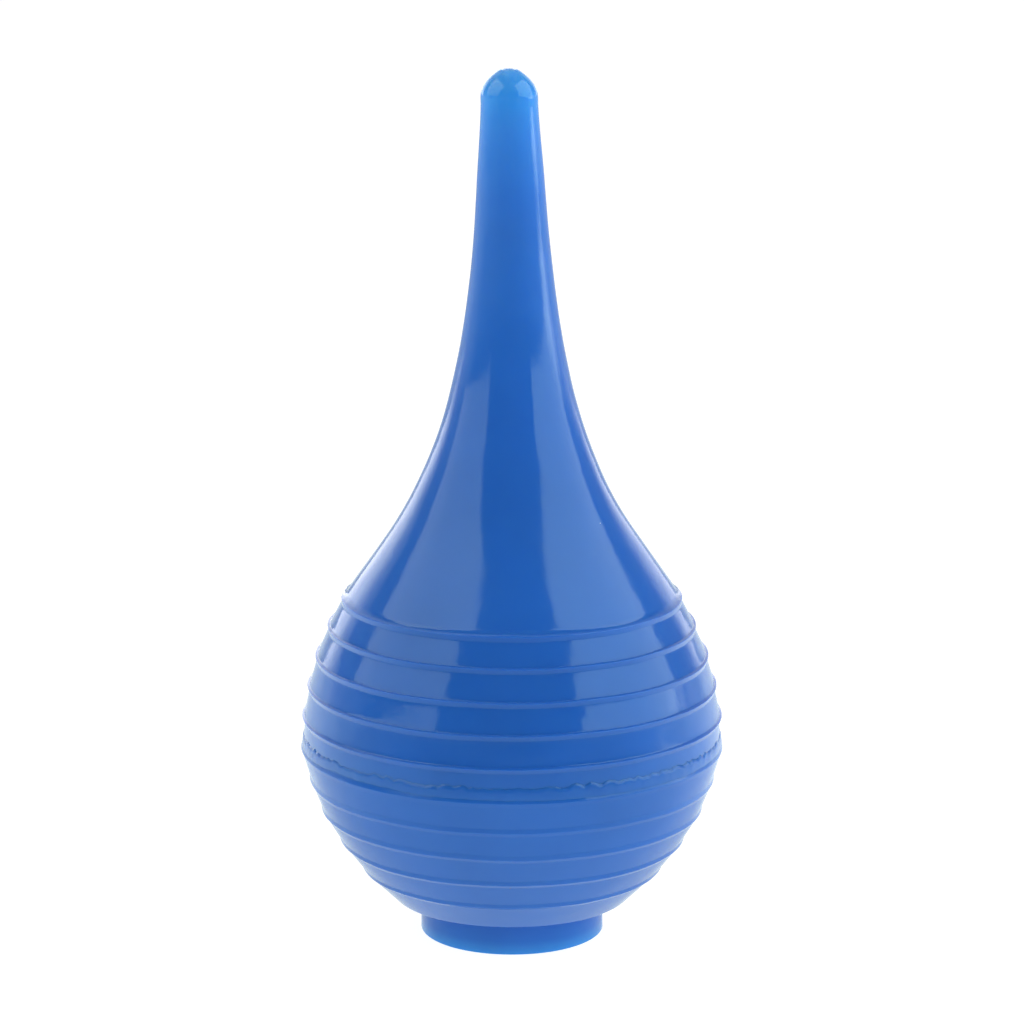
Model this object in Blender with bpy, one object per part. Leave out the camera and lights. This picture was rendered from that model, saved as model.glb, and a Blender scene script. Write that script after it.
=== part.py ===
"""Nasal aspirator: a ribbed squeeze bulb with a long soft nozzle, standing on its round foot.

Metres, +Z up, standing on z = 0 with the axis of every piece on the Z axis.
Two moulded shells meet in a lap joint round the widest place, where a weld bead
fills the groove between them. A foot plug closes the hole that the moulding core
is drawn out through, and a seal ring lies in a groove in the plug's top.
"""

import math

import bmesh
import bpy

# Driving dimensions
HEIGHT = 0.1147
SEGMENTS = 64                  # flats round every turned piece
CREASE_ANGLE = math.radians(35)    # edges sharper than this are shaded sharp
CORNER_STEPS = 4               # flats along every round corner
GAP = 0.0003                   # clearance between neighbouring pieces
WALL = 0.0024

# Raised rings: (height, crest radius), from the foot up
LOWER_RINGS = ((0.0087, 0.0202), (0.0127, 0.0231), (0.0169, 0.0255), (0.0209, 0.0270), (0.0251, 0.0280))
UPPER_RINGS = ((0.0295, 0.0278), (0.0336, 0.02715), (0.0376, 0.0261), (0.0416, 0.0244), (0.0453, 0.0227))
RING_STAND = 0.00035           # crest above the straight bands between rings
RING_HALF_WIDTH = 0.0005

# Foot plug
FOOT_RADIUS = 0.01215
FOOT_HEIGHT = 0.0046
FOOT_EDGE_RADIUS = 0.0007
NECK_RADIUS = 0.0070
FLANGE_RADIUS = 0.0095
FLANGE_THICKNESS = 0.0016
FLANGE_EDGE_RADIUS = 0.0005

# Seal ring and its groove in the plug's top
GROOVE_INNER_RADIUS = 0.0085
GROOVE_OUTER_RADIUS = 0.0110
GROOVE_DEPTH = 0.0008

# Lower shell
UNDERSIDE_Z = FOOT_HEIGHT + GAP
FLOOR_EDGE_RADIUS = 0.0145     # where the flat underside starts to round up
FLOOR_CORNER = (0.0156, 0.0053)
FLOOR_THICKNESS = 0.0022

# Lap joint at the widest place
JOINT_Z = 0.0270
JOINT_RADIUS = 0.0277
GROOVE_HALF_HEIGHT = 0.0008    # half the height of the groove that the bead fills
SPIGOT_OUTER_RADIUS = 0.0263
SPIGOT_BOTTOM_Z = 0.0247
BEAD_CREST_RADIUS = 0.02795
BEAD_CREST_HALF_HEIGHT = 0.00017

# Shoulder and nozzle
SHOULDER_START = (0.02185, 0.0460)
SHOULDER_SLOPE = -0.68         # dr/dz where the shoulder leaves the last ring
SHOULDER_TOP_Z = 0.0540
SHOULDER_STEPS = 4
NOZZLE_STEPS = 14
NOZZLE_LEAST_RADIUS = 0.0032   # the radius that the nozzle's taper tends to
NOZZLE_FLARE = 0.01306         # added to it at the top of the shoulder
NOZZLE_DECAY = 0.01925         # height in which the flare falls to 1/e
TIP_CORNER_Z = 0.1113          # where the tip's round corner starts
TIP_CORNER_RADIUS = 0.0020
TIP_FLAT_RADIUS = 0.0016
ORIFICE_RADIUS = 0.0010
ORIFICE_LENGTH = 0.0040

SOFT_BLUE = (0.022, 0.100, 0.420, 1.0)
WELD_BLUE = (0.035, 0.130, 0.480, 1.0)


def soft_vinyl(name, colour, roughness):
    """A glossy soft plastic."""
    material = bpy.data.materials.new(name)
    material.use_nodes = True
    shader = material.node_tree.nodes["Principled BSDF"]
    shader.inputs["Base Color"].default_value = colour
    shader.inputs["Roughness"].default_value = roughness
    shader.inputs["Metallic"].default_value = 0.0
    material.diffuse_color = colour
    return material


def turned(name, outline, material):
    """Turn a closed (radius, height) outline about Z. It runs up the outside and down the inside."""
    shape = bmesh.new()
    circles = [circle_of_vertices(shape, radius, z) for radius, z in outline]
    for lower, upper in zip(circles, circles[1:] + circles[:1]):
        join_circles(shape, lower, upper)
    mesh = bpy.data.meshes.new(name)
    shape.to_mesh(mesh)
    shape.free()
    mesh.materials.append(material)
    mesh.shade_smooth()
    mesh.set_sharp_from_angle(angle=CREASE_ANGLE)
    piece = bpy.data.objects.new(name, mesh)
    bpy.context.scene.collection.objects.link(piece)
    return piece


def circle_of_vertices(shape, radius, z):
    """One vertex on the axis, or a full circle of them."""
    if radius == 0:
        return [shape.verts.new((0, 0, z))]
    angles = [math.tau * i / SEGMENTS for i in range(SEGMENTS)]
    return [shape.verts.new((radius * math.cos(a), radius * math.sin(a), z)) for a in angles]


def join_circles(shape, lower, upper):
    """Faces between two neighbouring circles of the outline."""
    if len(lower) == 1 and len(upper) == 1:
        return
    for i in range(SEGMENTS):
        after = (i + 1) % SEGMENTS
        if len(lower) == 1:
            corners = (lower[0], upper[after], upper[i])
        elif len(upper) == 1:
            corners = (lower[i], lower[after], upper[0])
        else:
            corners = (lower[i], lower[after], upper[after], upper[i])
        shape.faces.new(corners)


def arc(centre, radius, start_degrees, end_degrees):
    """Points of a round corner, both ends included."""
    points = []
    for i in range(CORNER_STEPS + 1):
        angle = math.radians(start_degrees + (end_degrees - start_degrees) * i / CORNER_STEPS)
        points.append((centre[0] + radius * math.cos(angle), centre[1] + radius * math.sin(angle)))
    return points


def hermite(start, start_slope, end, end_slope, steps):
    """Points between two heights, both left out, of a curve with the given dr/dz at its ends."""
    rise = end[1] - start[1]
    points = []
    for i in range(1, steps):
        t = i / steps
        radius = (2 * t**3 - 3 * t**2 + 1) * start[0] + (t**3 - 2 * t**2 + t) * rise * start_slope
        radius += (3 * t**2 - 2 * t**3) * end[0] + (t**3 - t**2) * rise * end_slope
        points.append((radius, start[1] + rise * t))
    return points


def ring_foot(ring):
    """Where the bands on both sides of a ring would meet under its crest."""
    height, crest = ring
    return (crest - RING_STAND, height)


def between(points, z):
    """Radius at height z of the straight lines through the points, which run upwards."""
    for (r0, z0), (r1, z1) in zip(points, points[1:]):
        if z0 <= z <= z1:
            return r0 + (r1 - r0) * (z - z0) / (z1 - z0)
    return points[-1][0]


def ringed(bands, rings):
    """The outside of the ribbed wall: straight bands with a small crest at each ring."""
    outside = [bands[0]]
    for height, crest in rings:
        below = height - RING_HALF_WIDTH
        above = height + RING_HALF_WIDTH
        outside += [(between(bands, below), below), (crest, height), (between(bands, above), above)]
    outside.append(bands[-1])
    return outside


def offset_inward(points, distance):
    """Points moved to the inside of the wall, square to the outline, which runs upwards."""
    moved = []
    for i, (radius, z) in enumerate(points):
        before = points[max(i - 1, 0)]
        after = points[min(i + 1, len(points) - 1)]
        run = (after[0] - before[0], after[1] - before[1])
        length = math.hypot(*run)
        moved.append((radius - distance * run[1] / length, z + distance * run[0] / length))
    return moved


def nozzle_radius(z):
    """The nozzle narrows upwards along an exponential."""
    return NOZZLE_LEAST_RADIUS + NOZZLE_FLARE * math.exp(-(z - SHOULDER_TOP_Z) / NOZZLE_DECAY)


def lower_bands():
    """Outline of the lower shell under its rings, from the floor's corner to the lap joint."""
    top = (JOINT_RADIUS, JOINT_Z - GROOVE_HALF_HEIGHT)
    return [FLOOR_CORNER] + [ring_foot(ring) for ring in LOWER_RINGS] + [top]


def upper_bands():
    """Outline of the upper shell under its rings, from the lap joint to the shoulder."""
    bottom = (JOINT_RADIUS, JOINT_Z + GROOVE_HALF_HEIGHT)
    return [bottom] + [ring_foot(ring) for ring in UPPER_RINGS] + [SHOULDER_START]


def shoulder_and_nozzle(start):
    """Outside from the last ring to the start of the tip's round corner."""
    top = (nozzle_radius(SHOULDER_TOP_Z), SHOULDER_TOP_Z)
    top_slope = -NOZZLE_FLARE / NOZZLE_DECAY
    points = hermite(start, SHOULDER_SLOPE, top, top_slope, SHOULDER_STEPS) + [top]
    for i in range(1, NOZZLE_STEPS + 1):
        z = SHOULDER_TOP_Z + (TIP_CORNER_Z - SHOULDER_TOP_Z) * i / NOZZLE_STEPS
        points.append((nozzle_radius(z), z))
    return points


def tip():
    """Round corner, then a short cone to the flat end."""
    corner_centre = (nozzle_radius(TIP_CORNER_Z) - TIP_CORNER_RADIUS, TIP_CORNER_Z)
    corner = arc(corner_centre, TIP_CORNER_RADIUS, 0, 45)
    return corner[1:] + [(TIP_FLAT_RADIUS, HEIGHT)]


def build_upper_shell(material):
    """Nozzle, shoulder and the upper half of the bulb, with the spigot of the lap joint."""
    bands = upper_bands()
    nozzle = shoulder_and_nozzle(bands[-1])
    outside = ringed(bands, UPPER_RINGS) + nozzle + tip()

    orifice_z = HEIGHT - ORIFICE_LENGTH
    orifice = [(ORIFICE_RADIUS, HEIGHT), (ORIFICE_RADIUS, orifice_z)]
    wall = offset_inward(bands[1:] + nozzle, WALL)
    inside = [(max(radius, ORIFICE_RADIUS), z) for radius, z in wall if z < orifice_z]
    inside.reverse()

    inner_radius = JOINT_RADIUS - WALL
    spigot = [
        (inner_radius, JOINT_Z),
        (inner_radius, SPIGOT_BOTTOM_Z),
        (SPIGOT_OUTER_RADIUS, SPIGOT_BOTTOM_Z),
        (SPIGOT_OUTER_RADIUS, JOINT_Z + GROOVE_HALF_HEIGHT),
    ]
    return turned("upper_shell", outside + orifice + inside + spigot, material)


def build_lower_shell(material):
    """Lower half of the bulb, with the rebate of the lap joint and the hole for the foot plug."""
    bands = lower_bands()
    hole_radius = NECK_RADIUS + GAP
    underside = [(hole_radius, UNDERSIDE_Z), (FLOOR_EDGE_RADIUS, UNDERSIDE_Z)]
    outside = ringed(bands, LOWER_RINGS)

    rebate_radius = SPIGOT_OUTER_RADIUS + GAP
    rebate_z = SPIGOT_BOTTOM_Z - GAP
    inner_radius = JOINT_RADIUS - WALL
    rebate = [(rebate_radius, outside[-1][1]), (rebate_radius, rebate_z), (inner_radius, rebate_z)]

    wall = offset_inward(bands[:-2], WALL)
    floor_z = UNDERSIDE_Z + FLOOR_THICKNESS
    inside = list(reversed(wall[1:])) + [(FLOOR_EDGE_RADIUS, floor_z), (hole_radius, floor_z)]
    return turned("lower_shell", underside + outside + rebate + inside, material)


def build_seam_weld(material):
    """Bead that fills the lap joint's groove and stands a little proud of the bulb."""
    half_height = GROOVE_HALF_HEIGHT - GAP
    inner_radius = SPIGOT_OUTER_RADIUS + GAP
    shoulder_radius = JOINT_RADIUS - GAP
    outline = [
        (inner_radius, JOINT_Z - half_height),
        (shoulder_radius, JOINT_Z - half_height),
        (BEAD_CREST_RADIUS, JOINT_Z - BEAD_CREST_HALF_HEIGHT),
        (BEAD_CREST_RADIUS, JOINT_Z + BEAD_CREST_HALF_HEIGHT),
        (shoulder_radius, JOINT_Z + half_height),
        (inner_radius, JOINT_Z + half_height),
    ]
    return turned("seam_weld", outline, material)


def build_foot_plug(material):
    """Round foot with a neck through the shell's hole and a flange inside the bulb."""
    edge_centre = (FOOT_RADIUS - FOOT_EDGE_RADIUS, FOOT_EDGE_RADIUS)
    groove_z = FOOT_HEIGHT - GROOVE_DEPTH
    flange_z = UNDERSIDE_Z + FLOOR_THICKNESS + GAP
    top_z = flange_z + FLANGE_THICKNESS
    flange_centre = (FLANGE_RADIUS - FLANGE_EDGE_RADIUS, top_z - FLANGE_EDGE_RADIUS)
    outline = [(0, 0)]
    outline += arc(edge_centre, FOOT_EDGE_RADIUS, -90, 0)
    outline += [(FOOT_RADIUS, FOOT_HEIGHT), (GROOVE_OUTER_RADIUS, FOOT_HEIGHT)]
    outline += [(GROOVE_OUTER_RADIUS, groove_z), (GROOVE_INNER_RADIUS, groove_z)]
    outline += [(GROOVE_INNER_RADIUS, FOOT_HEIGHT), (NECK_RADIUS, FOOT_HEIGHT)]
    outline += [(NECK_RADIUS, flange_z), (FLANGE_RADIUS, flange_z)]
    outline += arc(flange_centre, FLANGE_EDGE_RADIUS, 0, 90)
    outline += [(0, top_z)]
    return turned("foot_plug", outline, material)


def build_foot_seal(material):
    """Flat ring of adhesive in the groove between the foot plug and the lower shell."""
    inner_radius = GROOVE_INNER_RADIUS + GAP
    outer_radius = GROOVE_OUTER_RADIUS - GAP
    bottom_z = FOOT_HEIGHT - GROOVE_DEPTH + GAP
    outline = [(inner_radius, bottom_z), (outer_radius, bottom_z)]
    outline += [(outer_radius, FOOT_HEIGHT), (inner_radius, FOOT_HEIGHT)]
    return turned("foot_seal", outline, material)


def add_empty(name, z):
    """A handle for the pieces that move together."""
    empty = bpy.data.objects.new(name, None)
    empty.location = (0, 0, z)
    empty.empty_display_size = 0.01
    bpy.context.scene.collection.objects.link(empty)
    return empty


def attach(pieces, empty):
    """Parent pieces to an empty without moving them."""
    for piece in pieces:
        piece.parent = empty
        piece.location = -empty.location


def main():
    for old in list(bpy.data.objects):
        bpy.data.objects.remove(old)

    shell_vinyl = soft_vinyl("shell_vinyl", SOFT_BLUE, 0.22)
    foot_vinyl = soft_vinyl("foot_vinyl", SOFT_BLUE, 0.28)
    weld_vinyl = soft_vinyl("weld_vinyl", WELD_BLUE, 0.32)

    bulb = [
        build_upper_shell(shell_vinyl),
        build_lower_shell(shell_vinyl),
        build_seam_weld(weld_vinyl),
    ]
    base = [build_foot_plug(foot_vinyl), build_foot_seal(weld_vinyl)]
    attach(bulb, add_empty("bulb", JOINT_Z))
    attach(base, add_empty("base_press", 0.0))


main()
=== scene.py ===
"""Looks of a bulb nasal aspirator: glossy, slightly cloudy blue vinyl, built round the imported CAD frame."""

import math

import bmesh
import bpy
from mathutils import Matrix, Vector, noise


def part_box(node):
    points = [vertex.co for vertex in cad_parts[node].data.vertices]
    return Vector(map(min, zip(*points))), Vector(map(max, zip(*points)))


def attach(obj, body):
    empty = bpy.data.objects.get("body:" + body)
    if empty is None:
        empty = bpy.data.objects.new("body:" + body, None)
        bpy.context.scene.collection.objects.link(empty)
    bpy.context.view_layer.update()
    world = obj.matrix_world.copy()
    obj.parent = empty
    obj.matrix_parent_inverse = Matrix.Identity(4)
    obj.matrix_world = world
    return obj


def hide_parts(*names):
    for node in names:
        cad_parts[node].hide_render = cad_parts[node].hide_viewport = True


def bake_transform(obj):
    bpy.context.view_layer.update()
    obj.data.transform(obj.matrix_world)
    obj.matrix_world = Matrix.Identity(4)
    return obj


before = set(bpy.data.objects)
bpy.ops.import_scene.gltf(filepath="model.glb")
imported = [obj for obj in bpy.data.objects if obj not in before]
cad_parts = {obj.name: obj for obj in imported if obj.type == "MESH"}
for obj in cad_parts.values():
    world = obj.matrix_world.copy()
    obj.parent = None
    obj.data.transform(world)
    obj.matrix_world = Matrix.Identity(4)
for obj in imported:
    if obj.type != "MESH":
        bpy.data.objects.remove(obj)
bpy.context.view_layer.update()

# ---------------------------------------------------------------- sizes, in metres

CUP_LOW, CUP_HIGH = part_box("lower_shell")
WELD_LOW, WELD_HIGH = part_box("seam_weld")
FOOT_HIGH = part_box("foot_plug")[1]

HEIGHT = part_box("upper_shell")[1].z
JOINT_Z = (WELD_LOW.z + WELD_HIGH.z) / 2
UNDERSIDE_Z = CUP_LOW.z
WIDEST_RADIUS = CUP_HIGH.x
FOOT_RADIUS = FOOT_HIGH.x
PLUG_TOP_Z = FOOT_HIGH.z

SEGMENTS = 320                 # faces round the bulb
BAND_STEP = 0.0005             # spacing of the wall's rows of faces
NOZZLE_ROWS = 110
TIP_ROWS = 28
WALL = 0.0024
GAP = 0.0003                   # clearance where one piece fits into another

# Raised rings: (height, crest radius), from the foot up
LOWER_RINGS = ((0.00895, 0.0200), (0.01295, 0.0230), (0.01715, 0.0254), (0.02115, 0.0269), (0.02535, 0.02795))
UPPER_RINGS = ((0.02978, 0.0278), (0.03388, 0.0271), (0.03788, 0.0260), (0.04188, 0.0243), (0.0456, 0.02245))
# A ring is a low rib with sloping flanks: its feet and crest, each (along the wall, in from the crest)
LOWER_RING_SECTION = ((-0.00060, 0.00018), (0.0, 0.0), (0.00054, 0.00024))
UPPER_RING_SECTION = ((-0.00059, 0.00044), (0.0, 0.0), (0.00022, 0.00033))
RING_ROUNDING = 0.0001
JOINT_RADIUS = 0.02755
SHOULDER_START = (0.02194, 0.0458)
SHOULDER_SLOPE = -0.68
SHOULDER_TOP_Z = 0.0540
NOZZLE_LEAST_RADIUS = 0.0032
NOZZLE_FLARE = 0.01306
NOZZLE_DECAY = 0.01925
TIP_START_Z = 0.1102           # here the nozzle starts to round over into its end
TIP_SIDE_PULL = 0.00104        # how far the round end goes on along the nozzle's side
TIP_SHOULDER = (0.00412, 0.11285)
TIP_FLAT_RADIUS = 0.00112
TIP_THINNING = 0.00021         # the last stretch draws in a little
THINNING_START_Z = 0.1000
SLOPE_STEP = 0.0002
ORIFICE_RADIUS = 0.0006
ORIFICE_LIP = 0.0002
ORIFICE_LENGTH = 0.0040
BORE_RADIUS = 0.0010
INSIDE_START = 0.0020          # the air chamber's wall, measured from the joint up
INSIDE_STEP = 0.0045
INSIDE_ROWS = 18

FLOOR_EDGE_RADIUS = 0.0153
FLOOR_CORNER = (0.0157, 0.00495)
FLOOR_CORNER_ROUNDING = 0.0003
FLOOR_THICKNESS = 0.0022
NECK_RADIUS = 0.0070
FLANGE_RADIUS = 0.0095
FLANGE_EDGE_RADIUS = 0.0005
FOOT_EDGE_RADIUS = 0.0001
FOOT_INNER_RADIUS = 0.0090     # a row of faces on its flat underside
FOOT_DRAFT = 0.00002           # its side is this much narrower low down
FOOT_DRAFT_Z = 0.0028
FOOT_TOP_GAP = 0.00002
SPIGOT_OUTER_RADIUS = 0.0263
SPIGOT_BOTTOM_Z = 0.0247

# The soft wall isn't quite even. Layers of noise are (share of the size, cycles per metre).
UNEVENNESS = 0.00009
UNEVEN_LAYERS = ((1.0, 95), (0.22, 300), (0.05, 800))
EVEN_RADIUS = 0.0020           # no unevenness nearer the axis than this
EVEN_FADE = 0.0060
WAVER = 0.00007                # the rings rise and fall a little on their way round
WAVER_LAYERS = ((1.0, 130), (0.45, 500))
WAVER_FADE_LOW = 0.0030
WAVER_FADE_HIGH = 0.0040
NOZZLE_LEAN = -0.00042         # the soft nozzle leans a little to the side at its tip
LEAN_START_Z = 0.0880
LEAN_GROWTH = 1.3

# Flash: a thin skin squeezed out of the joint, with waves and teeth along its upper edge
FLASH_DEPTH = 0.0018           # how far it reaches below the joint
FLASH_EDGE = 0.00028           # mean height of its upper edge above the joint
FLASH_SLOW = (0.00022, 4)      # (size, cycles per bulb radius)
FLASH_RAGGED = (0.00062, 15)
FLASH_FINE = (0.00016, 52)
FLASH_LUMPS = (0.4, 25)        # (share of the thickness, cycles per bulb radius)
# Its section from the bottom up: (stand from the wall, share of the way up)
FLASH_SECTION = (
    (-0.0003, 0.0), (0.00001, 0.02), (0.00005, 0.20), (0.00009, 0.45), (0.00013, 0.66),
    (0.00015, 0.74), (0.00014, 0.81), (0.00010, 0.88), (0.00004, 0.95), (-0.0001, 1.0),
)

# ---------------------------------------------------------------- outline


def smooth_step(t):
    t = min(max(t, 0.0), 1.0)
    return t * t * (3 - 2 * t)


def between(points, z):
    """Radius at height z of the straight lines through (radius, height) points."""
    for (r0, z0), (r1, z1) in zip(points, points[1:]):
        if z <= z1:
            return r0 + (r1 - r0) * (z - z0) / (z1 - z0)
    return points[-1][0]


def ring_corners(rings, section, below, above):
    """Lower foot, crest and upper foot of each ring on a wall that runs from point below to point above."""
    crests = [(radius, height) for height, radius in rings]
    ribs = []
    for before, crest, after in zip([below] + crests, crests, crests[1:] + [above]):
        length = math.dist(before, after)
        along_r, along_z = (after[0] - before[0]) / length, (after[1] - before[1]) / length
        rib = []
        for up, inward in section:
            radius = crest[0] + up * along_r - inward * along_z
            rib.append((radius, crest[1] + up * along_z + inward * along_r))
        ribs.append(rib)
    return ribs


JOINT_POINT = (JOINT_RADIUS, JOINT_Z)
LOWER_RIBS = ring_corners(LOWER_RINGS, LOWER_RING_SECTION, FLOOR_CORNER, UPPER_RINGS[0][::-1])
UPPER_RIBS = ring_corners(UPPER_RINGS, UPPER_RING_SECTION, LOWER_RINGS[-1][::-1], SHOULDER_START)
UPPER_RIBS[-1][-1] = SHOULDER_START
LOWER_BANDS = [FLOOR_CORNER] + [foot for rib in LOWER_RIBS for foot in (rib[0], rib[-1])] + [JOINT_POINT]
UPPER_BANDS = [JOINT_POINT] + [foot for rib in UPPER_RIBS for foot in (rib[0], rib[-1])]


def nozzle_radius(z):
    thinning = TIP_THINNING * smooth_step((z - THINNING_START_Z) / (TIP_START_Z - THINNING_START_Z))
    return NOZZLE_LEAST_RADIUS + NOZZLE_FLARE * math.exp(-(z - SHOULDER_TOP_Z) / NOZZLE_DECAY) - thinning


def shoulder_radius(z):
    """Smooth curve from the last ring to the nozzle."""
    start_r, start_z = SHOULDER_START
    rise = SHOULDER_TOP_Z - start_z
    t = (z - start_z) / rise
    end_slope = -NOZZLE_FLARE / NOZZLE_DECAY
    radius = (2 * t**3 - 3 * t**2 + 1) * start_r + (t**3 - 2 * t**2 + t) * rise * SHOULDER_SLOPE
    return radius + (3 * t**2 - 2 * t**3) * nozzle_radius(SHOULDER_TOP_Z) + (t**3 - t**2) * rise * end_slope


def wall_radius(z):
    """Outside of the bulb and nozzle without its rings."""
    if z <= JOINT_Z:
        return between(LOWER_BANDS, z)
    if z <= SHOULDER_START[1]:
        return between(UPPER_BANDS, z)
    if z <= SHOULDER_TOP_Z:
        return shoulder_radius(z)
    return nozzle_radius(z)


def toward(start, end, distance):
    """Point at a distance from start on the way to end."""
    share = distance / math.dist(start, end)
    return start[0] + (end[0] - start[0]) * share, start[1] + (end[1] - start[1]) * share


def bezier(corners, steps):
    """Points after the first of the line or smooth curve drawn by two, three or four corners."""
    points = []
    for i in range(1, steps + 1):
        t = i / steps
        line = corners
        while len(line) > 1:
            line = [tuple(a + (b - a) * t for a, b in zip(p, q)) for p, q in zip(line, line[1:])]
        points.append(line[0])
    return points


def ribbed_outline(corners):
    """Straight lines through the corners of the ribbed wall, with every corner but the ends rounded."""
    outline = [corners[0]]
    stops = []
    for before, corner, after in zip(corners, corners[1:], corners[2:]):
        start, end = toward(corner, before, RING_ROUNDING), toward(corner, after, RING_ROUNDING)
        stops.append((start, bezier([start, corner, end], 6)))
    for stop, curve in stops + [(corners[-1], [])]:
        origin = outline[-1]
        count = max(1, round(math.dist(origin, stop) / BAND_STEP))
        outline += bezier([origin, stop], count) + curve
    return outline


def arc(centre, radius, start_degrees, end_degrees, steps):
    points = []
    for i in range(steps + 1):
        angle = math.radians(start_degrees + (end_degrees - start_degrees) * i / steps)
        points.append((centre[0] + radius * math.cos(angle), centre[1] + radius * math.sin(angle)))
    return points


def offset_inward(points, distance):
    """Points of a rising outline moved square to it, to the inside of the wall."""
    moved = []
    for i, (radius, z) in enumerate(points):
        before, after = points[max(i - 1, 0)], points[min(i + 1, len(points) - 1)]
        run = (after[0] - before[0], after[1] - before[1])
        length = math.hypot(*run)
        moved.append((radius - distance * run[1] / length, z + distance * run[0] / length))
    return moved


# ---------------------------------------------------------------- turned meshes


def join_circles(shape, lower, upper, segments):
    """Faces between two circles of vertices, either of which may be a single point on the axis."""
    if len(lower) == 1 and len(upper) == 1:
        return
    for i in range(segments):
        after = (i + 1) % segments
        if len(lower) == 1:
            corners = (lower[0], upper[after], upper[i])
        elif len(upper) == 1:
            corners = (lower[i], lower[after], upper[0])
        else:
            corners = (lower[i], lower[after], upper[after], upper[i])
        shape.faces.new(corners)


def closed_piece(name, shape, circles, segments, sharp_degrees):
    """Object whose surface runs through the circles in turn and back to the first."""
    for lower, upper in zip(circles, circles[1:] + circles[:1]):
        join_circles(shape, lower, upper, segments)
    mesh = bpy.data.meshes.new(name)
    shape.to_mesh(mesh)
    shape.free()
    mesh.shade_smooth()
    mesh.set_sharp_from_angle(angle=math.radians(sharp_degrees))
    piece = bpy.data.objects.new(name, mesh)
    bpy.context.scene.collection.objects.link(piece)
    return piece


def layered_noise(place, layers):
    return sum(share * noise.noise(place * cycles) for share, cycles in layers)


def moulded(radius, z, angle):
    """A point of the soft wall: slightly uneven, and leaning at the nozzle's tip."""
    x, y = math.cos(angle), math.sin(angle)
    place = Vector((radius * x, radius * y, z))
    uneven = UNEVENNESS * layered_noise(place, UNEVEN_LAYERS)
    uneven *= smooth_step((radius - EVEN_RADIUS) / EVEN_FADE)
    above_rings = smooth_step((z - SHOULDER_START[1]) / WAVER_FADE_HIGH)
    waver = WAVER * layered_noise(place, WAVER_LAYERS)
    waver *= smooth_step((z - UNDERSIDE_Z) / WAVER_FADE_LOW) * (1 - above_rings)
    lean = NOZZLE_LEAN * max(0.0, (z - LEAN_START_Z) / (HEIGHT - LEAN_START_Z)) ** LEAN_GROWTH
    radius = min(radius + uneven, WIDEST_RADIUS)
    return (radius * x + lean, radius * y, z + waver)


def turned(name, outline, segments):
    """Turn a closed outline about Z into a soft moulding."""
    shape = bmesh.new()
    circles = []
    for radius, z in outline:
        if radius == 0:
            circles.append([shape.verts.new((0, 0, z))])
            continue
        circle = []
        for i in range(segments):
            circle.append(shape.verts.new(moulded(radius, z, math.tau * i / segments)))
        circles.append(circle)
    return closed_piece(name, shape, circles, segments, 50)


# ---------------------------------------------------------------- pieces


def tip_outline():
    """From the nozzle's side over the rounded end to the small flat round the orifice."""
    below_z = TIP_START_Z - SLOPE_STEP
    start = (nozzle_radius(TIP_START_Z), TIP_START_Z)
    on_side = toward(start, (nozzle_radius(below_z), below_z), -TIP_SIDE_PULL)
    return bezier([start, on_side, TIP_SHOULDER, (TIP_FLAT_RADIUS, HEIGHT)], TIP_ROWS)


def build_nozzle_and_shoulder():
    outside = ribbed_outline([JOINT_POINT] + [corner for rib in UPPER_RIBS for corner in rib])
    for i in range(1, NOZZLE_ROWS + 1):
        z = SHOULDER_START[1] + (TIP_START_Z - SHOULDER_START[1]) * i / NOZZLE_ROWS
        outside.append((wall_radius(z), z))
    outside += tip_outline()
    orifice = arc((ORIFICE_RADIUS + ORIFICE_LIP, HEIGHT - ORIFICE_LIP), ORIFICE_LIP, 90, 180, 4)
    orifice += [(ORIFICE_RADIUS, HEIGHT - ORIFICE_LENGTH), (BORE_RADIUS, HEIGHT - ORIFICE_LENGTH)]

    heights = [JOINT_Z + INSIDE_START + INSIDE_STEP * i for i in range(INSIDE_ROWS)]
    inside = offset_inward([(wall_radius(z), z) for z in heights], WALL)
    inside = [(max(radius, BORE_RADIUS), z) for radius, z in reversed(inside)]
    rim_radius = JOINT_RADIUS - WALL
    spigot = [(rim_radius, JOINT_Z), (rim_radius, SPIGOT_BOTTOM_Z)]
    spigot += [(SPIGOT_OUTER_RADIUS, SPIGOT_BOTTOM_Z), (SPIGOT_OUTER_RADIUS, JOINT_Z)]
    return turned("nozzle_and_shoulder", outside + orifice + inside + spigot, SEGMENTS)


def build_bulb_cup():
    low_z = FLOOR_CORNER[1] + FLOOR_CORNER_ROUNDING
    low_wall = (wall_radius(low_z), low_z)
    underside = [(NECK_RADIUS + GAP, UNDERSIDE_Z), (FLOOR_EDGE_RADIUS, UNDERSIDE_Z)]
    underside += bezier([underside[1], (FLOOR_CORNER[0], UNDERSIDE_Z), low_wall], 6)
    corners = [low_wall] + [corner for rib in LOWER_RIBS for corner in rib] + [JOINT_POINT]
    outside = ribbed_outline(corners)[1:]
    rebate_radius = SPIGOT_OUTER_RADIUS + GAP
    rebate_z = SPIGOT_BOTTOM_Z - GAP
    rebate = [(rebate_radius, JOINT_Z), (rebate_radius, rebate_z), (JOINT_RADIUS - WALL, rebate_z)]
    wall = offset_inward(LOWER_BANDS[1:-2], WALL)
    floor_z = UNDERSIDE_Z + FLOOR_THICKNESS
    inside = wall[::-1] + [(FLOOR_EDGE_RADIUS, floor_z), (NECK_RADIUS + GAP, floor_z)]
    return turned("bulb_cup", underside + outside + rebate + inside, SEGMENTS)


def flash_edge(angle):
    """Height of the flash's ragged upper edge, above the joint."""
    around = Vector((math.cos(angle), math.sin(angle), 0))
    slow, ragged, fine = (
        size * noise.noise(around * cycles + Vector((0, 0, layer)))
        for (size, cycles), layer in ((FLASH_SLOW, 0), (FLASH_RAGGED, 5), (FLASH_FINE, 9))
    )
    return FLASH_EDGE + slow + abs(ragged) + fine


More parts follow.
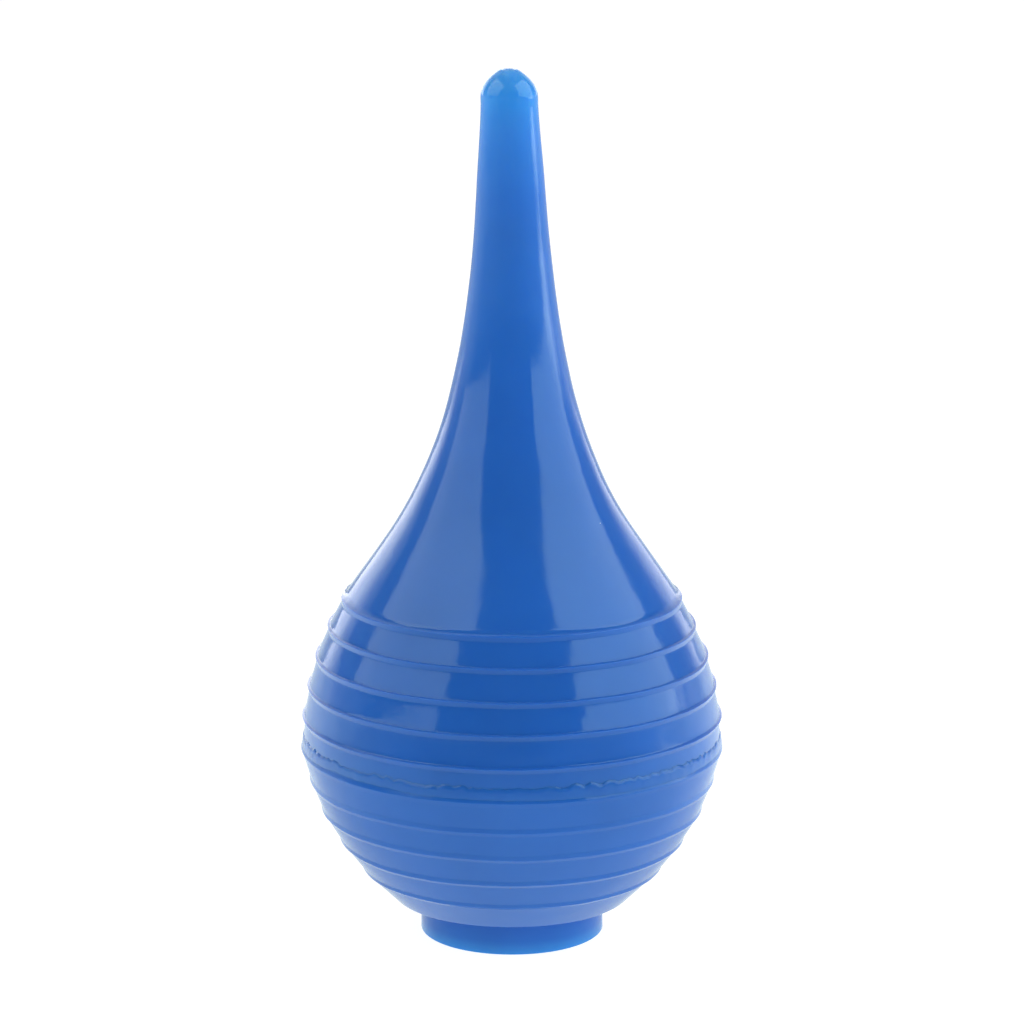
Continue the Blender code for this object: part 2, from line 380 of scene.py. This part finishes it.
def build_seam_flash():
    """Skin along the joint: it thins out downwards and ends above in its ragged edge."""
    low = JOINT_Z - FLASH_DEPTH
    lumpiness, cycles = FLASH_LUMPS
    count = SEGMENTS * 2
    shape = bmesh.new()
    circles = [[] for _ in FLASH_SECTION]
    for i in range(count):
        angle = math.tau * i / count
        top = JOINT_Z + flash_edge(angle)
        lump = 1 + lumpiness * noise.noise(Vector((math.cos(angle) * cycles, math.sin(angle) * cycles, 3)))
        for circle, (stand, along) in zip(circles, FLASH_SECTION):
            z = low + (top - low) * along
            proud = stand * lump if stand > 0 else stand
            radius = min(wall_radius(z) + proud, WIDEST_RADIUS)
            circle.append(shape.verts.new((radius * math.cos(angle), radius * math.sin(angle), z)))
    return closed_piece("seam_flash", shape, circles, count, 60)


def build_foot():
    """Round foot, neck through the cup's floor, and flange on top of the floor."""
    top_z = UNDERSIDE_Z - FOOT_TOP_GAP
    outline = [(0, 0), (FOOT_INNER_RADIUS, 0)]
    outline += arc((FOOT_RADIUS - FOOT_EDGE_RADIUS, FOOT_EDGE_RADIUS), FOOT_EDGE_RADIUS, -90, 0, 10)
    outline += [(FOOT_RADIUS - FOOT_DRAFT, FOOT_DRAFT_Z), (FOOT_RADIUS, top_z)]
    flange_z = UNDERSIDE_Z + FLOOR_THICKNESS + GAP
    outline += [(NECK_RADIUS, top_z), (NECK_RADIUS, flange_z), (FLANGE_RADIUS, flange_z)]
    edge_centre = (FLANGE_RADIUS - FLANGE_EDGE_RADIUS, PLUG_TOP_Z - FLANGE_EDGE_RADIUS)
    outline += arc(edge_centre, FLANGE_EDGE_RADIUS, 0, 90, 4)
    outline += [(0, PLUG_TOP_Z)]
    return turned("foot", outline, SEGMENTS // 2)


# ---------------------------------------------------------------- nodes


def node(tree, kind, **values):
    made = tree.nodes.new(kind)
    for key, value in values.items():
        setattr(made, key, value)
    return made


def maths(tree, operation, first, second):
    """Math node on two outputs or numbers."""
    made = node(tree, "ShaderNodeMath", operation=operation)
    for socket, value in zip(made.inputs, (first, second)):
        if isinstance(value, (int, float)):
            socket.default_value = value
        else:
            tree.links.new(value, socket)
    return made.outputs[0]


def ranged(tree, value, start, end, low=0.0, high=1.0, curve="SMOOTHSTEP"):
    """Change from low to high as value goes from start to end, level beyond them."""
    if start > end:
        start, end, low, high = end, start, high, low
    ramp = node(tree, "ShaderNodeMapRange", interpolation_type=curve)
    for name, number in (("From Min", start), ("From Max", end), ("To Min", low), ("To Max", high)):
        ramp.inputs[name].default_value = number
    tree.links.new(value, ramp.inputs["Value"])
    return ramp.outputs["Result"]


def noise_texture(tree, place, scale, detail):
    texture = node(tree, "ShaderNodeTexNoise")
    texture.inputs["Scale"].default_value = scale
    texture.inputs["Detail"].default_value = detail
    tree.links.new(place, texture.inputs["Vector"])
    return texture.outputs["Fac"]


def mixed(tree, factor, first, second):
    """Colour between two colours, each an output or (red, green, blue)."""
    mix = node(tree, "ShaderNodeMix", data_type="RGBA")
    tree.links.new(factor, mix.inputs["Factor"])
    for name, colour in (("A", first), ("B", second)):
        if isinstance(colour, tuple):
            mix.inputs[name].default_value = (*colour, 1)
        else:
            tree.links.new(colour, mix.inputs[name])
    return mix.outputs["Result"]


# ---------------------------------------------------------------- vinyl

# Base colour at shares of the height, with painted glow: paler and greener up the nozzle to the tip and at
# the foot, painting the light that shines through the vinyl there
VINYL_COLOURS_WITH_PAINTED_GLOW = (
    (0.0, (0.036, 0.250, 0.68)),
    (0.006, (0.034, 0.220, 0.64)),
    (0.014, (0.022, 0.150, 0.56)),
    (0.035, (0.026, 0.142, 0.57)),
    (0.05, (0.0205, 0.133, 0.53)),
    (0.62, (0.022, 0.136, 0.55)),
    (0.75, (0.0245, 0.160, 0.61)),
    (0.86, (0.027, 0.180, 0.68)),
    (0.93, (0.038, 0.250, 0.80)),
    (0.966, (0.039, 0.300, 0.86)),
    (0.985, (0.058, 0.325, 0.83)),
    (1.0, (0.064, 0.335, 0.83)),
)
SPECK_DARK = (0.005, 0.03, 0.16)
SPECK_PALE = (0.55, 0.68, 0.85)
SPECK_SCALE = 260
SPECK_SIZE = 0.035             # in cells of the speck pattern
SPECK_RARITY = 0.90            # share of the cells without a speck
WAVE_DEPTH = 0.00004
SKIN_DEPTH = 0.00002
DULLER = 0.07                  # added to the roughness where the surface is less polished


def cloudy_blue_with_painted_glow(tree, place):
    split = node(tree, "ShaderNodeSeparateXYZ")
    tree.links.new(place, split.inputs[0])
    # Painted glow: this ramp by height paints light shining through the tip and foot into the base colour
    ramp = node(tree, "ShaderNodeValToRGB")
    stops = ramp.color_ramp.elements
    stops.remove(stops[-1])
    stops[0].color = (*VINYL_COLOURS_WITH_PAINTED_GLOW[0][1], 1)
    for position, colour in VINYL_COLOURS_WITH_PAINTED_GLOW[1:]:
        stops.new(position).color = (*colour, 1)
    tree.links.new(ranged(tree, split.outputs["Z"], 0.0, HEIGHT, curve="LINEAR"), ramp.inputs["Fac"])

    cloud = noise_texture(tree, place, 70, 3)
    clouded = node(tree, "ShaderNodeVectorMath", operation="SCALE")
    tree.links.new(ramp.outputs["Color"], clouded.inputs[0])
    tree.links.new(ranged(tree, cloud, 0.3, 0.7, 0.94, 1.06, "LINEAR"), clouded.inputs["Scale"])
    return clouded.outputs[0]


def dusted(tree, place, colour):
    """Sparse dust specks, pale and dark, over a colour."""
    cells = node(tree, "ShaderNodeTexVoronoi")
    cells.inputs["Scale"].default_value = SPECK_SCALE
    tree.links.new(place, cells.inputs["Vector"])
    chance = node(tree, "ShaderNodeSeparateColor")
    tree.links.new(cells.outputs["Color"], chance.inputs[0])
    small = maths(tree, "LESS_THAN", cells.outputs["Distance"], SPECK_SIZE)
    rare = maths(tree, "GREATER_THAN", chance.outputs["Red"], SPECK_RARITY)
    speck = mixed(tree, chance.outputs["Green"], SPECK_DARK, SPECK_PALE)
    return mixed(tree, maths(tree, "MULTIPLY", small, rare), colour, speck)


def wavy_skin(tree, place):
    """Normal of a surface with slow waves, which make reflections waver, and a fine skin."""
    normal = None
    for scale, strength, depth in ((420, 0.6, WAVE_DEPTH), (2600, 0.05, SKIN_DEPTH)):
        bump = node(tree, "ShaderNodeBump")
        bump.inputs["Strength"].default_value = strength
        bump.inputs["Distance"].default_value = depth
        tree.links.new(noise_texture(tree, place, scale, 2), bump.inputs["Height"])
        if normal is not None:
            tree.links.new(normal, bump.inputs["Normal"])
        normal = bump.outputs["Normal"]
    return normal


def vinyl(name, roughness=0.09, shine=0.5):
    """Glossy blue soft vinyl: cloudy, with painted glow making it paler where thin, faintly wavy, with dust
    and duller patches.
    """
    material = bpy.data.materials.new(name)
    material.use_nodes = True
    tree = material.node_tree
    shader = tree.nodes["Principled BSDF"]
    place = node(tree, "ShaderNodeTexCoord").outputs["Object"]
    polish = ranged(
        tree, noise_texture(tree, place, 120, 4), 0.35, 0.75, roughness, roughness + DULLER, "LINEAR"
    )
    tree.links.new(dusted(tree, place, cloudy_blue_with_painted_glow(tree, place)), shader.inputs["Base Color"])
    tree.links.new(polish, shader.inputs["Roughness"])
    tree.links.new(wavy_skin(tree, place), shader.inputs["Normal"])
    shader.inputs["IOR"].default_value = 1.5
    shader.inputs["Specular IOR Level"].default_value = shine
    shader.inputs["Specular Tint"].default_value = (0.75, 1.0, 0.9, 1)
    shader.inputs["Subsurface Weight"].default_value = 0.5
    shader.inputs["Subsurface Radius"].default_value = (0.25, 0.6, 1.0)
    shader.inputs["Subsurface Scale"].default_value = 0.0012
    return material


# ---------------------------------------------------------------- studio

CAMERA_DISTANCE = 0.4833
CAMERA_ELEVATION = math.radians(12.39)
CAMERA_AIM_Z = 0.0568
CAMERA_LENS = 129.65
BULB_CENTRE_Z = 0.045          # the lamps aim at this height

# Radiance of the studio's walls and ceiling, which the glossy bulb mirrors
HORIZON = 0.34
WALL_FRONT = 0.015
WALL_BACK = 0.22
LEFT_EDGE = 0.40
LEFT_BACK = 1.05
RIGHT_BACK = 0.8
RIGHT_GLOW = 0.9
RIGHT_LOW = 0.2
CEILING = 0.06
MIRROR_GAIN = 1.33             # makes up for the tint of the vinyl's reflections

# Radiance of the floor in the bulb: near it, further off, and what the sides add and the distance takes
FLOOR_NEAR = 0.95
FLOOR_FAR = 0.60
FLOOR_FADE = 0.40
FLOOR_BACK = 0.42
FLOOR_LEFT = 0.42
FLOOR_RIGHT = 0.45
FLOOR_BOUNCE = 0.12
FLOOR_HALF = 4.0
FLOOR_Z = -0.00002


def add_camera():
    data = bpy.data.cameras.new("camera")
    data.lens = CAMERA_LENS
    data.sensor_width = 36
    data.clip_start = 0.01
    camera = bpy.data.objects.new("camera", data)
    back = Vector((0, -math.cos(CAMERA_ELEVATION), math.sin(CAMERA_ELEVATION)))
    camera.location = Vector((0, 0, CAMERA_AIM_Z)) + back * CAMERA_DISTANCE
    camera.rotation_euler = back.to_track_quat("Z", "Y").to_euler()
    bpy.context.scene.collection.objects.link(camera)
    bpy.context.scene.camera = camera


def add_softbox(name, azimuth, elevation, tilt, roll, distance, size, radiance, colour):
    """Panel lamp aimed at the bulb: angles in degrees, azimuth 0 in front, radiance (low, high up)."""
    around, tilt = math.radians(azimuth), math.radians(tilt)
    outward = Vector((math.sin(around), -math.cos(around), 0))
    sideways = Vector((math.cos(around), math.sin(around), 0))
    back = outward * math.cos(tilt) + Vector((0, 0, math.sin(tilt)))
    turn = Matrix.Rotation(math.radians(roll), 3, back)
    across, up = turn @ sideways, turn @ back.cross(sideways)
    high = math.radians(elevation)
    place = (outward * math.cos(high) + Vector((0, 0, math.sin(high)))) * distance

    data = bpy.data.lights.new(name, "AREA")
    data.shape = "RECTANGLE"
    data.size, data.size_y = size
    data.energy = math.pi * data.size * data.size_y
    data.color = colour
    data.use_nodes = True
    tree = data.node_tree
    panel = node(tree, "ShaderNodeSeparateXYZ")
    tree.links.new(node(tree, "ShaderNodeNewGeometry").outputs["Parametric"], panel.inputs[0])
    strength = ranged(tree, panel.outputs["Y"], 0.0, 1.0, *radiance)
    tree.links.new(strength, tree.nodes["Emission"].inputs["Strength"])
    lamp = bpy.data.objects.new(name, data)
    basis = Matrix((across, up, back)).transposed()
    lamp.matrix_world = Matrix.Translation(place + Vector((0, 0, BULB_CENTRE_Z))) @ basis.to_4x4()
    lamp.visible_camera = False
    bpy.context.scene.collection.objects.link(lamp)
    return lamp


def add_floor_bounce():
    """Light thrown back up by the white table, for the matt part of the surface only."""
    data = bpy.data.lights.new("floor_bounce", "AREA")
    data.shape = "DISK"
    data.size = 1.2
    data.energy = FLOOR_BOUNCE * math.pi * math.pi * (data.size / 2) ** 2
    lamp = bpy.data.objects.new("floor_bounce", data)
    lamp.rotation_euler = (math.pi, 0, 0)
    lamp.location.z = 0.0001
    lamp.visible_camera = False
    bpy.context.scene.collection.objects.link(lamp)
    return lamp


def add_lamps():
    add_softbox(
        "left_softbox", azimuth=-77, elevation=39.5, tilt=30, roll=6.6, distance=1.3,
        size=(1.46, 1.325), radiance=(1.34, 1.92), colour=(1.0, 0.98, 0.88),
    )
    add_softbox(
        "right_softbox", azimuth=79, elevation=38.0, tilt=20, roll=-13.9, distance=1.3,
        size=(1.60, 1.40), radiance=(2.14, 2.55), colour=(0.80, 0.88, 0.86),
    )
    front_fill = add_softbox(
        "front_fill", azimuth=10, elevation=28, tilt=28, roll=0, distance=1.5,
        size=(1.2, 1.2), radiance=(1.17, 1.17), colour=(0.98, 1.0, 1.0),
    )
    for fill in (front_fill, add_floor_bounce()):
        fill.visible_glossy = False


def compass(tree, vector):
    """Height above the horizon, sideways and forward parts of a direction, each from -1 to 1."""
    level = node(tree, "ShaderNodeVectorMath", operation="MULTIPLY")
    level.inputs[1].default_value = (1, 1, 0)
    tree.links.new(vector, level.inputs[0])
    unit = node(tree, "ShaderNodeVectorMath", operation="NORMALIZE")
    tree.links.new(level.outputs[0], unit.inputs[0])
    flat = node(tree, "ShaderNodeSeparateXYZ")
    tree.links.new(unit.outputs[0], flat.inputs[0])
    full = node(tree, "ShaderNodeSeparateXYZ")
    tree.links.new(vector, full.inputs[0])
    forward = maths(tree, "MULTIPLY", flat.outputs["Y"], -1.0)
    return full.outputs["Z"], flat.outputs["X"], forward


def product(tree, *factors):
    total = factors[0]
    for factor in factors[1:]:
        total = maths(tree, "MULTIPLY", total, factor)
    return total


def add_world():
    """Studio walls: dark behind the camera, grey at the sides and white at the back and low down."""
    world = bpy.data.worlds.new("studio")
    bpy.context.scene.world = world
    world.use_nodes = True
    tree = world.node_tree
    direction = node(tree, "ShaderNodeTexCoord").outputs["Generated"]
    high, sideways, forward = compass(tree, direction)
    on_left = ranged(tree, sideways, 0.1, -0.1)
    on_right = ranged(tree, sideways, -0.1, 0.1)

    horizon = product(
        tree, ranged(tree, high, 0.14, 0.02, 0.0, HORIZON), ranged(tree, forward, 0.95, 0.55, 0.8, 1.0)
    )
    wall = ranged(tree, forward, 0.15, -0.25, WALL_FRONT, WALL_BACK)
    left_edge = ranged(tree, forward, -0.555, -0.60, 0.0, LEFT_EDGE)
    left_back = maths(tree, "ADD", left_edge, ranged(tree, forward, -0.60, -0.80, 0.0, LEFT_BACK))
    left_back = product(tree, on_left, left_back)
    right_back = product(tree, on_right, ranged(tree, forward, -0.66, -0.86, 0.0, RIGHT_BACK))
    right_glow = product(
        tree,
        ranged(tree, sideways, 0.5, 0.8),
        ranged(tree, high, 0.13, 0.02, 0.0, RIGHT_GLOW),
        ranged(tree, forward, -0.42, -0.36),
        ranged(tree, forward, 0.10, -0.02),
    )
    right_low = product(
        tree, on_right, ranged(tree, forward, -0.25, -0.42), ranged(tree, high, 0.04, 0.01, 0.0, RIGHT_LOW)
    )
    back = maths(tree, "ADD", wall, maths(tree, "ADD", left_back, right_back))
    back = product(tree, back, ranged(tree, high, 0.55, 0.12, 0.35, 1.0))
    ceiling = ranged(tree, high, 0.80, 0.95, 0.0, CEILING)
    total = horizon
    for part in (back, right_glow, right_low, ceiling):
        total = maths(tree, "ADD", total, part)

    # The camera itself sees plain white
    seen = node(tree, "ShaderNodeLightPath").outputs["Is Camera Ray"]
    shown = mixed(tree, seen, product(tree, total, MIRROR_GAIN), (1, 1, 1))
    tree.links.new(shown, tree.nodes["Background"].inputs["Color"])


def floor_radiance(tree, place):
    """Brighter close to the bulb, and further off at the sides and back."""
    _, sideways, forward = compass(tree, place)
    distance = node(tree, "ShaderNodeVectorMath", operation="LENGTH")
    tree.links.new(place, distance.inputs[0])
    away = distance.outputs["Value"]
    near = ranged(tree, away, 0.16, 0.03, FLOOR_FAR, FLOOR_NEAR)
    near = maths(tree, "SUBTRACT", near, ranged(tree, away, 0.3, 0.9, 0.0, FLOOR_FADE))
    back = ranged(tree, forward, 0.6, -0.2, 0.0, FLOOR_BACK)
    right = ranged(tree, sideways, 0.3, 0.9, 0.0, FLOOR_RIGHT)
    right = product(tree, right, ranged(tree, away, 0.8, 0.35, 0.6, 1.0))
    left = ranged(tree, sideways, -0.4, -0.9, 0.0, FLOOR_LEFT)
    edges = maths(tree, "ADD", back, maths(tree, "ADD", right, left))
    return maths(tree, "ADD", near, product(tree, ranged(tree, away, 0.03, 0.12), edges))


def add_floor():
    """Floor that the camera sees as white paper, and the glossy bulb mirrors as a lit table."""
    corners = [(-1, -1), (1, -1), (1, 1), (-1, 1)]
    mesh = bpy.data.meshes.new("studio_floor")
    mesh.from_pydata([(x * FLOOR_HALF, y * FLOOR_HALF, 0) for x, y in corners], [], [(0, 1, 2, 3)])
    floor = bpy.data.objects.new("studio_floor", mesh)
    floor.location.z = FLOOR_Z
    bpy.context.scene.collection.objects.link(floor)
    material = bpy.data.materials.new("white_sweep")
    material.use_nodes = True
    tree = material.node_tree
    links = tree.links
    tree.nodes.clear()

    place = node(tree, "ShaderNodeTexCoord").outputs["Object"]
    mirrored = node(tree, "ShaderNodeEmission")
    mirrored.inputs["Color"].default_value = (0.90, 1.0, 1.0, 1)
    links.new(floor_radiance(tree, place), mirrored.inputs["Strength"])
    paper = node(tree, "ShaderNodeBsdfDiffuse")
    paper.inputs["Color"].default_value = (0.3, 0.3, 0.3, 1)
    glow = node(tree, "ShaderNodeEmission")
    glow.inputs["Strength"].default_value = 0.9
    lit = node(tree, "ShaderNodeAddShader")
    links.new(paper.outputs[0], lit.inputs[0])
    links.new(glow.outputs[0], lit.inputs[1])
    seen = node(tree, "ShaderNodeLightPath")
    pick = node(tree, "ShaderNodeMixShader")
    links.new(seen.outputs["Is Camera Ray"], pick.inputs[0])
    links.new(mirrored.outputs[0], pick.inputs[1])
    links.new(lit.outputs[0], pick.inputs[2])
    output = node(tree, "ShaderNodeOutputMaterial")
    links.new(pick.outputs[0], output.inputs["Surface"])
    mesh.materials.append(material)


# ---------------------------------------------------------------- assembly


def main():
    wall_vinyl = vinyl("wall_vinyl")
    flash_vinyl = vinyl("flash_vinyl", roughness=0.16)
    foot_vinyl = vinyl("foot_vinyl", roughness=0.16, shine=0.3)

    nozzle = build_nozzle_and_shoulder()
    nozzle.data.materials.append(wall_vinyl)
    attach(nozzle, "bulb")
    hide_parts("upper_shell")

    flash = build_seam_flash()
    flash.data.materials.append(flash_vinyl)
    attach(flash, "bulb")
    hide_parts("seam_weld")

    foot = build_foot()
    foot.data.materials.append(foot_vinyl)
    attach(foot, "base")
    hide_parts("foot_plug")

    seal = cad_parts["foot_seal"]
    seal.data.materials.clear()
    seal.data.materials.append(flash_vinyl)

    cup = build_bulb_cup()
    cup.data.materials.append(wall_vinyl)
    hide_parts("lower_shell")
    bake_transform(cup)

    add_camera()
    add_lamps()
    add_world()
    add_floor()
    bpy.context.scene.view_settings.view_transform = "Standard"


main()
